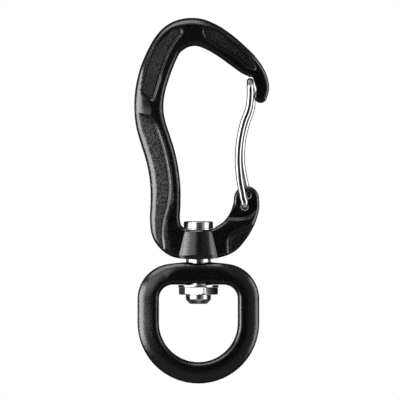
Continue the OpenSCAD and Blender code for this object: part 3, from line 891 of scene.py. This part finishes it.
class HOOK_OT_ring(Operator):
    """Builds the swivel ring, arched on top and round below"""
    bl_idname = "snap_hook.ring"
    bl_label = "Swivel ring"

    def execute(self, context):
        sizes = context.scene.ring_sizes
        bar, eye_r = sizes.bar_w / MM, sizes.eye_w / MM / 2
        top, arch_r, corner = -61.65, 60.0, 4.0
        eye_top = top - sizes.top_h / MM
        half_w, outer_corner, corner_x = eye_r + bar, corner + bar, eye_r - corner
        arch_z = top - arch_r
        corner_z = arch_z + math.sqrt((arch_r - outer_corner) ** 2 - corner_x ** 2)
        turn = math.degrees(math.asin(corner_x / (arch_r - outer_corner)))
        low_z = eye_top - sizes.eye_h / MM + eye_r
        outer = (arc_points(0, arch_z, arch_r, 90, 90 - turn, 24)
                 + arc_points(corner_x, corner_z, outer_corner, 90 - turn, 0, 30)
                 + straight((half_w, corner_z), (half_w, low_z), 10)
                 + arc_points(0, low_z, half_w, 0, -90, 48) + [(0, low_z - half_w)])
        inner = (straight((0, eye_top), (corner_x, eye_top), 24)
                 + arc_points(corner_x, eye_top - corner, corner, 90, 0, 30)
                 + straight((eye_r, eye_top - corner), (eye_r, low_z), 10)
                 + arc_points(0, low_z, eye_r, 0, -90, 48) + [(0, low_z - eye_r)])
        outer, inner = (np.array(half + [(-x, z) for x, z in half[-2:0:-1]]) for half in (outer, inner))
        ribs = []
        for a, b in zip(outer, inner):
            c, out = (a + b) / 2, (a - b) / np.linalg.norm(a - b)
            half = np.linalg.norm(a - b) / 2
            thick = (sizes.thickness / MM + ease(low_z, top, a[1])) / 2
            # the outer edge is less rounded over the bore
            share = ease(5.5, 13, abs(a[0])) if a[1] > eye_top else 1
            bore_edge = 2.2
            outer_edge = (bore_edge + (sizes.outer_edge / MM - bore_edge) * share, 1.7 + 1.1 * share)
            u, h = front_half(half, thick, outer_edge, (sizes.inner_edge / MM, 2.0), 6)
            rib = np.stack([c[0] + out[0] * u, -h, c[1] + out[1] * u], axis=1)
            ribs.append(np.vstack([rib, rib[-2:0:-1] * (1, -1, 1)]))
        ring = skin("swivel_ring_forging", np.array(ribs), closed=True)
        bore, rim, depth = 3.63, 0.15, 0.4
        under, over = eye_top - 2, top + 2
        cutters = [
            turned("ring_bore_cutter", [
                (AXIS, under), (bore + 1.75, under), (bore + rim, eye_top + depth),
                (bore, eye_top + depth + rim), (bore, top - depth - rim), (bore + rim, top - depth),
                (bore + 1.75, over), (AXIS, over)]),
            turned("ring_seat_cutter", [(AXIS, top - depth), (SEAT_R, top - depth), (SEAT_R, over),
                                        (AXIS, over)]),
            turned("ring_low_seat_cutter", [(AXIS, under), (SEAT_R, under), (SEAT_R, eye_top + depth),
                                            (AXIS, eye_top + depth)])]
        cut_away(ring, cutters)
        paint(ring, "floor_grain_and_light", np.zeros(len(ring.data.vertices)))
        paint_creases(ring)
        finish_piece(ring, black_coat(), "ring", "black_coat", "swivel_ring")
        return {"FINISHED"}


# ---- finish and stage ----

class FinishLook(PropertyGroup):
    """Colours and gloss of the coat and the steel."""
    coat: FloatProperty(name="Coat", description="How light the black coat is", default=0.0007,
                        min=0, max=0.02)
    coat_roughness: FloatProperty(name="Coat roughness", description="How matt the coat is",
                                  default=0.24, min=0, max=1)
    steel: FloatVectorProperty(name="Steel", description="Colour of the plated and polished steel",
                               subtype="COLOR", default=(0.82, 0.82, 0.83), min=0, max=1)
    wire_roughness: FloatProperty(name="Wire roughness", description="How matt the wire is",
                                  default=0.15, min=0, max=1)
    plate_roughness: FloatProperty(name="Plating roughness", description="How matt the plating is",
                                   default=0.2, min=0, max=1)


class StageLook(PropertyGroup):
    """Floor, light and camera."""
    view_height: FloatProperty(name="View height", description="Height that the camera takes in",
                               default=114.3 * MM, unit="LENGTH")
    key_glow: FloatProperty(name="Key glow", default=33.0,
                            description="Watts for each square metre of the softbox on the left")
    steel_glow: FloatProperty(name="Steel glow", default=5.0,
                              description="Watts for each square metre that the steel gets from the sides")
    front_glow: FloatProperty(name="Front glow", default=7.0,
                              description="Watts for each square metre of the softbox front left")
    top_glow: FloatProperty(name="Top glow", default=16.0,
                            description="Watts for each square metre of the softbox overhead")
    side_glow: FloatProperty(name="Side glow", default=14.0,
                             description="Watts for each square metre of the strip on the right")


def softbox(name, away, facing, width, height, glow, only=None):
    """A soft area light, away from the part's middle. Its glow is the power for each square metre.

    It can light one family of pieces only.
    """
    light = bpy.data.lights.new(name, "AREA")
    light.shape, light.size, light.size_y = "RECTANGLE", width, height
    light.energy = glow * width * height
    made = bpy.data.objects.new(name, light)
    made.location = (CAD_LOW + CAD_HIGH) / 2 + Vector(away)
    made.rotation_euler = Vector(facing).to_track_quat("-Z", "Y").to_euler()
    bpy.context.scene.collection.objects.link(made)
    if only:
        made.light_linking.receiver_collection = only


def family(name, *materials):
    """A collection of the pieces in these materials, for lights that reach only them."""
    made = bpy.data.collections.new(name)
    for piece in bpy.data.objects:
        if piece.type == "MESH" and piece.material_slots and piece.material_slots[0].name in materials:
            made.objects.link(piece)
    return made


def studio_world():
    """White backdrop to the camera. To the piece, a light tent, dark in front and behind."""
    world = bpy.data.worlds.new("studio")
    bpy.context.scene.world = world
    world.use_nodes = True
    tree = world.node_tree
    nodes, links = tree.nodes, tree.links
    nodes.clear()
    place, split = nodes.new("ShaderNodeTexCoord"), nodes.new("ShaderNodeSeparateXYZ")
    spread = nodes.new("ShaderNodeMapRange")
    spread.inputs["From Min"].default_value = -1.0
    ramp = nodes.new("ShaderNodeValToRGB")
    stops = ramp.color_ramp.elements
    stops[0].position, stops[0].color = 0.0, grey(0.015)
    stops[1].position, stops[1].color = 1.0, grey(0.03)
    # grey of the tent from the front, at 0, to the back, at 1
    for position, value in ((0.045, 0.02), (0.075, 0.3), (0.5, 0.28), (0.6, 0.14), (0.8, 0.07)):
        stops.new(position).color = grey(value)
    tent, backdrop = nodes.new("ShaderNodeBackground"), nodes.new("ShaderNodeBackground")
    path, mix = nodes.new("ShaderNodeLightPath"), nodes.new("ShaderNodeMixShader")
    out = nodes.new("ShaderNodeOutputWorld")
    links.new(place.outputs["Generated"], split.inputs[0])
    links.new(split.outputs["Y"], spread.inputs["Value"])
    links.new(spread.outputs["Result"], ramp.inputs[0])
    links.new(ramp.outputs["Color"], tent.inputs["Color"])
    links.new(path.outputs["Is Camera Ray"], mix.inputs[0])
    links.new(tent.outputs[0], mix.inputs[1])
    links.new(backdrop.outputs[0], mix.inputs[2])
    links.new(mix.outputs[0], out.inputs[0])
    backdrop.inputs["Color"].default_value = grey(1.0)


class HOOK_OT_stage(Operator):
    """Builds the pale floor, the soft lights and the camera"""
    bl_idname = "snap_hook.stage"
    bl_label = "Stage"

    def execute(self, context):
        look = context.scene.stage_look
        centre = (CAD_LOW + CAD_HIGH) / 2
        floor_z, half = CAD_LOW.z - 0.004, 1.5
        mesh = bpy.data.meshes.new("floor")
        mesh.from_pydata([(-half, -half, floor_z), (half, -half, floor_z), (half, half, floor_z),
                          (-half, half, floor_z)], [], [(0, 1, 2, 3)])
        floor = bpy.data.objects.new("floor", mesh)
        context.scene.collection.objects.link(floor)
        paper = NodeTree("floor_paper")
        tone = paper.mix(paper.ramp(paper.noise(12, 2.0), 0.3, 0.7, 0.0, 1.0), grey(0.8), grey(0.84))
        paper.join(tone, paper.shader.inputs["Base Color"])
        paper.shader.inputs["Roughness"].default_value = 0.9
        mesh.materials.append(paper.material)
        floor.visible_glossy = False
        # the flagged lights keep the full strength of the key and the side strip off the bright steel
        coated = family("coated", "baked_coat", "floor_paper")
        steel = family("steel", "polished_wire", "bright_plating")
        left, right = (1, 0, 0), (-1, 0, 0)
        softbox("key", (-0.75, -0.21, -0.03), left, 0.68, 0.6, look.key_glow, coated)
        softbox("flagged_key", (-0.75, -0.21, -0.03), left, 0.62, 0.9, look.steel_glow, steel)
        softbox("front", (-0.60, -0.85, 0.32), (0.5, 0.75, -0.3), 0.7, 0.8, look.front_glow)
        softbox("top", (-0.33, -0.25, 0.75), (0, 0.001, -1), 0.95, 0.6, look.top_glow, coated)
        softbox("side", (0.70, -0.02, 0.05), right, 0.4, 0.9, look.side_glow, coated)
        softbox("flagged_side", (0.70, -0.25, 0.05), right, 0.6, 0.9, look.steel_glow, steel)
        studio_world()
        context.scene.view_settings.view_transform = "Standard"
        camera = bpy.data.objects.new("camera", bpy.data.cameras.new("camera"))
        camera.data.type = "ORTHO"
        camera.data.ortho_scale = look.view_height
        camera.location = centre + Vector((-0.0005, -1.0, 0.0002))
        camera.rotation_euler = (math.radians(90), 0, 0)
        context.scene.collection.objects.link(camera)
        context.scene.camera = camera
        return {"FINISHED"}


class HOOK_PT_panel(Panel):
    """The builders, in the order they run"""
    bl_label = "Snap hook"
    bl_idname = "HOOK_PT_panel"
    bl_space_type = "VIEW_3D"
    bl_region_type = "UI"
    bl_category = "Snap hook"

    def draw(self, context):
        for operator in OPERATORS:
            self.layout.operator(operator.bl_idname)


OPERATORS = (HOOK_OT_forging, HOOK_OT_gate, HOOK_OT_swivel, HOOK_OT_ring, HOOK_OT_stage)
GROUPS = {"hook_sizes": HookSizes, "gate_sizes": GateSizes, "swivel_sizes": SwivelSizes,
          "ring_sizes": RingSizes, "hook_finish": FinishLook, "stage_look": StageLook}


def register():
    for group in (*GROUPS.values(), *OPERATORS, HOOK_PT_panel):
        bpy.utils.register_class(group)
    for name, group in GROUPS.items():
        setattr(bpy.types.Scene, name, PointerProperty(type=group))


def unregister():
    for name in GROUPS:
        delattr(bpy.types.Scene, name)
    for group in (HOOK_PT_panel, *reversed(OPERATORS), *reversed(list(GROUPS.values()))):
        bpy.utils.unregister_class(group)


def main():
    """Builds everything in order."""
    register()
    for operator in OPERATORS:
        module, name = operator.bl_idname.split(".")
        getattr(getattr(bpy.ops, module), name)()


if __name__ == "__main__":
    main()
